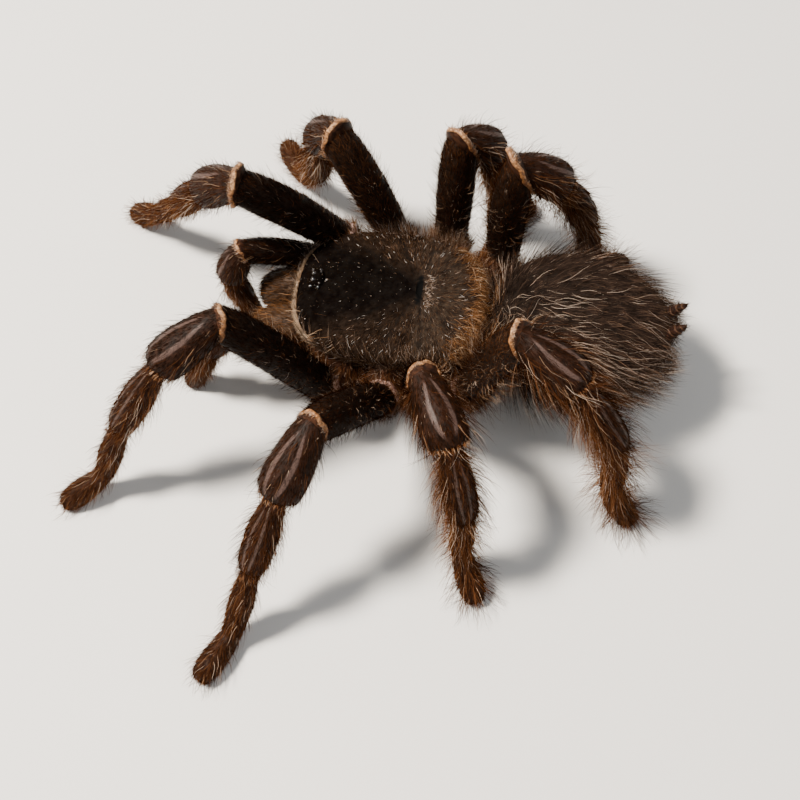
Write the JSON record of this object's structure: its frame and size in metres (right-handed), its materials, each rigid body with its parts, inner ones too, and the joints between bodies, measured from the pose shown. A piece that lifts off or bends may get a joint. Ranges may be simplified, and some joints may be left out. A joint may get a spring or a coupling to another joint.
{
  "type": "tarantula specimen",
  "caption": "Dried tarantula standing on its own feet, with separate body plates, jaws, fangs, palps, leg segments and spinnerets.",
  "frame": {"origin": "on the surface it stands on, under the centre of the bounding box", "axes": "head looks along -Y, the spider's left side is +X, back is +Z"},
  "size_m": [0.1326, 0.125, 0.0526],
  "materials": {
    "carapace": "dark brown velvet with pale speckled hairs",
    "sternum": "matte, near black",
    "abdomen": "dark grey-brown velvet with long rusty hairs",
    "leg": "dark brown, hairy, with paler bald stripes",
    "hip": "pale pinkish smooth skin",
    "foot": "brown pads fringed with rusty hair",
    "chelicera": "brown, finely haired",
    "fang": "polished black horn",
    "spinneret": "dark red-brown, ringed"
  },
  "bodies": {
    "root": {"carapace": "carapace", "abdomen": "abdomen", "sternum": "sternum", "chelicera_L": "chelicera", "fang_L": "fang", "spinneret_L": "spinneret", "chelicera_R": "chelicera", "fang_R": "fang", "spinneret_R": "spinneret", "coxa_L1": "hip", "femur_L1": "leg", "patella_L1": "leg", "tibia_L1": "leg", "foot_L1": "foot", "coxa_L2": "hip", "femur_L2": "leg", "patella_L2": "leg", "tibia_L2": "leg", "foot_L2": "foot", "coxa_L3": "hip", "femur_L3": "leg", "patella_L3": "leg", "tibia_L3": "leg", "foot_L3": "foot", "coxa_L4": "hip", "femur_L4": "leg", "patella_L4": "leg", "tibia_L4": "leg", "foot_L4": "foot", "coxa_R1": "hip", "femur_R1": "leg", "patella_R1": "leg", "tibia_R1": "leg", "foot_R1": "foot", "coxa_R2": "hip", "femur_R2": "leg", "patella_R2": "leg", "tibia_R2": "leg", "foot_R2": "foot", "coxa_R3": "hip", "femur_R3": "leg", "patella_R3": "leg", "tibia_R3": "leg", "foot_R3": "foot", "coxa_R4": "hip", "femur_R4": "leg", "patella_R4": "leg", "tibia_R4": "leg", "foot_R4": "foot", "coxa_LP": "hip", "femur_LP": "leg", "patella_LP": "leg", "tibia_LP": "leg", "tarsus_LP": "foot", "coxa_RP": "hip", "femur_RP": "leg", "patella_RP": "leg", "tibia_RP": "leg", "tarsus_RP": "foot"}
  },
  "joints": []
}
